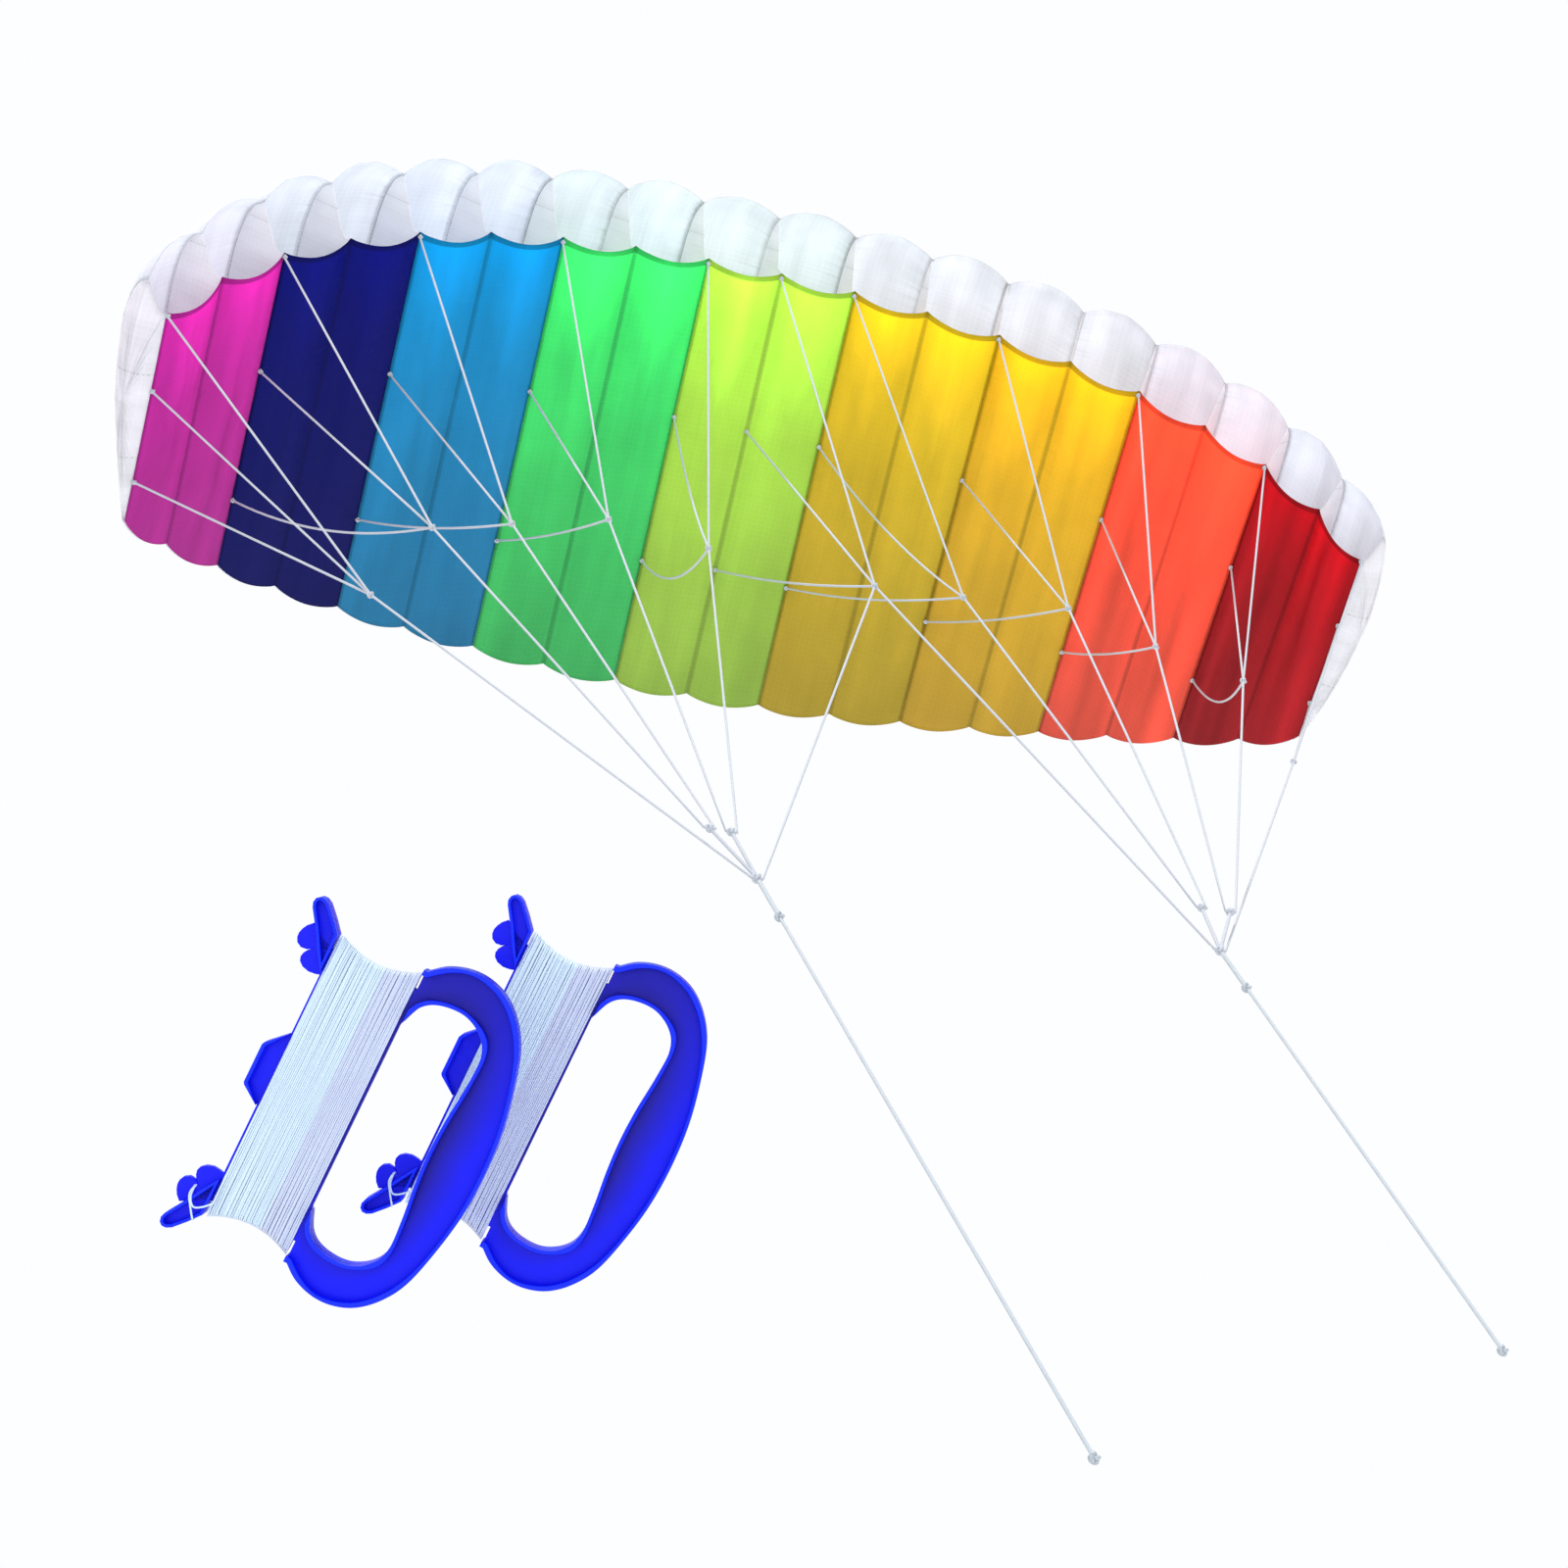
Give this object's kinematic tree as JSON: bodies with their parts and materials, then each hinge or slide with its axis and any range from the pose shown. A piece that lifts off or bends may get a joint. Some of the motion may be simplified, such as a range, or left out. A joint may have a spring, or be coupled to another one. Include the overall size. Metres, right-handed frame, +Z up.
{
  "type": "parafoil kite",
  "caption": "Two-line ram-air parafoil kite in rainbow panels, with its bridle, lead lines and two winder handles wound with line.",
  "frame": {"origin": "under the middle of the centre rib's chord, level with its lower lip: the point that names the air's lift on the canopy", "axes": "+Z up, away from the flyer, with the lead lines running down along -Z and leaning in a little; +X along the span; the open mouths face -Y"},
  "size_m": [1.3071, 0.4987, 1.8838],
  "materials": {
    "fabric_magenta": "coated ripstop fabric, magenta",
    "fabric_navy": "coated ripstop fabric, navy",
    "fabric_sky_blue": "coated ripstop fabric, sky blue",
    "fabric_green": "coated ripstop fabric, green",
    "fabric_lime": "coated ripstop fabric, lime",
    "fabric_yellow": "coated ripstop fabric, yellow",
    "fabric_amber": "coated ripstop fabric, amber",
    "fabric_orange": "coated ripstop fabric, orange",
    "fabric_red": "coated ripstop fabric, red",
    "fabric_white": "coated translucent white ripstop fabric",
    "bridle_cord": "fine braided cord, off-white",
    "lead_cord": "braided line, off-white",
    "wound_line": "thin white line, closely wound",
    "blue_plastic": "ultramarine moulded plastic with a soft sheen"
  },
  "bodies": {
    "canopy": {"lower_skin_magenta": "fabric_magenta", "lower_skin_navy": "fabric_navy", "lower_skin_sky_blue": "fabric_sky_blue", "lower_skin_green": "fabric_green", "lower_skin_lime": "fabric_lime", "lower_skin_yellow": "fabric_yellow", "lower_skin_amber": "fabric_amber", "lower_skin_orange": "fabric_orange", "lower_skin_red": "fabric_red", "upper_skin_1": "fabric_white", "upper_skin_2": "fabric_white", "upper_skin_3": "fabric_white", "upper_skin_4": "fabric_white", "upper_skin_5": "fabric_white", "upper_skin_6": "fabric_white", "upper_skin_7": "fabric_white", "upper_skin_8": "fabric_white", "upper_skin_9": "fabric_white", "rib_1": "fabric_white", "rib_2": "fabric_white", "rib_3": "fabric_white", "rib_4": "fabric_white", "rib_5": "fabric_white", "rib_6": "fabric_white", "rib_7": "fabric_white", "rib_8": "fabric_white", "rib_9": "fabric_white", "rib_10": "fabric_white", "rib_11": "fabric_white", "rib_12": "fabric_white", "rib_13": "fabric_white", "rib_14": "fabric_white", "rib_15": "fabric_white", "rib_16": "fabric_white", "rib_17": "fabric_white", "tip_cap_left": "fabric_white", "tip_cap_right": "fabric_white", "bridle_rib_0": "bridle_cord", "bridle_rib_2": "bridle_cord", "bridle_rib_4": "bridle_cord", "bridle_rib_6": "bridle_cord", "bridle_rib_8": "bridle_cord", "bridle_rib_9": "bridle_cord", "bridle_rib_10": "bridle_cord", "bridle_rib_12": "bridle_cord", "bridle_rib_14": "bridle_cord", "bridle_rib_16": "bridle_cord", "bridle_rib_18": "bridle_cord", "tow_bridle_left": "bridle_cord", "tow_bridle_right": "bridle_cord"},
    "lead_loop_left": {"lead_loop_left": "lead_cord"},
    "lead_line_left": {"lead_line_left": "lead_cord", "lead_end_knot_left": "lead_cord"},
    "handle_left": {"handle_left": "blue_plastic", "winding_left": "wound_line"},
    "lead_loop_right": {"lead_loop_right": "lead_cord"},
    "lead_line_right": {"lead_line_right": "lead_cord", "lead_end_knot_right": "lead_cord"},
    "handle_right": {"handle_right": "blue_plastic", "winding_right": "wound_line"}
  },
  "joints": [
    {"name": "lead_swing_fore_aft_left", "type": "hinge", "parent": "canopy", "child": "lead_loop_left", "pos_m": [-0.186, 0.0185, -0.965], "axis": [1, 0, 0], "range_deg": [-40, 40]},
    {"name": "lead_swing_sideways_left", "type": "hinge", "parent": "lead_loop_left", "child": "lead_line_left", "pos_m": [-0.18349, 0.0185, -1.02495], "axis": [0, 1, 0], "range_deg": [-30, 30]},
    {"name": "handle_reach_left", "type": "slide", "parent": "canopy", "child": "handle_left", "axis": [-0.9578, 0, 0.2873], "range_m": [0, 0.2]},
    {"name": "lead_swing_fore_aft_right", "type": "hinge", "parent": "canopy", "child": "lead_loop_right", "pos_m": [0.186, 0.0185, -0.965], "axis": [1, 0, 0], "range_deg": [-40, 40]},
    {"name": "lead_swing_sideways_right", "type": "hinge", "parent": "lead_loop_right", "child": "lead_line_right", "pos_m": [0.18349, 0.0185, -1.02495], "axis": [0, 1, 0], "range_deg": [-30, 30]},
    {"name": "handle_reach_right", "type": "slide", "parent": "canopy", "child": "handle_right", "axis": [0.9578, 0, 0.2873], "range_m": [0, 0.2]}
  ]
}
